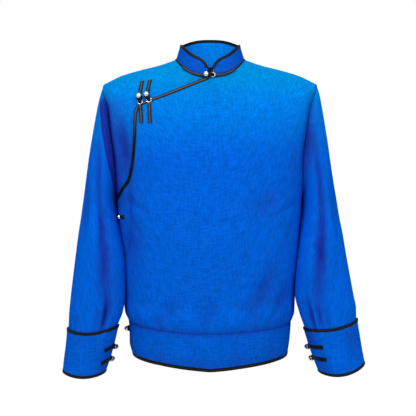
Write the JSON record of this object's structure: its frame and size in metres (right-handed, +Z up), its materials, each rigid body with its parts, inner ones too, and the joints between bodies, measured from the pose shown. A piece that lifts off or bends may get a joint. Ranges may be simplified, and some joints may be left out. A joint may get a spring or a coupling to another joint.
{
  "type": "stand collar jacket",
  "caption": "Hollow worn jacket with a stand collar, a slanting side opening, a hem band, deep cuffs, dark satin binding and strap-and-ball fastenings.",
  "frame": {"origin": "middle of the neck, level with the inner ends of the shoulder seams", "axes": "+Z up, +Y to the back, so the front faces -Y and +X is the viewer's right, the wearer's left"},
  "size_m": [0.6435, 0.238, 0.7366],
  "materials": {
    "cloth": "azure blue linen with an uneven plain weave and a slight sheen",
    "binding": "black satin folded over the cloth's edge",
    "strap": "black satin strips, sewn flat",
    "button": "polished silver"
  },
  "bodies": {
    "root": {"front_main": "cloth", "front_under": "cloth", "back": "cloth", "sleeve_left": "cloth", "sleeve_right": "cloth", "cuff_left": "cloth", "cuff_right": "cloth", "collar": "cloth", "hem_band": "cloth", "binding_opening": "binding", "binding_side": "binding", "binding_collar_top": "binding", "binding_collar_base": "binding", "binding_hem": "binding", "binding_cuff_top_left": "binding", "binding_cuff_bottom_left": "binding", "binding_cuff_top_right": "binding", "binding_cuff_bottom_right": "binding", "strap_collar_ball": "strap", "strap_collar_ring": "strap", "strap_chest_outer_ball": "strap", "strap_chest_outer_ring": "strap", "strap_chest_inner_ball": "strap", "strap_chest_inner_ring": "strap", "strap_underarm_ball": "strap", "strap_underarm_ring": "strap", "strap_band_ball": "strap", "strap_band_ring": "strap", "strap_cuff_left_upper_ball": "strap", "strap_cuff_left_upper_ring": "strap", "strap_cuff_left_lower_ball": "strap", "strap_cuff_left_lower_ring": "strap", "strap_cuff_right_upper_ball": "strap", "strap_cuff_right_upper_ring": "strap", "strap_cuff_right_lower_ball": "strap", "strap_cuff_right_lower_ring": "strap", "button_collar": "button", "button_chest_outer": "button", "button_chest_inner": "button", "button_underarm": "button", "button_band": "button", "button_cuff_left_upper": "button", "button_cuff_left_lower": "button", "button_cuff_right_upper": "button", "button_cuff_right_lower": "button"}
  },
  "joints": []
}
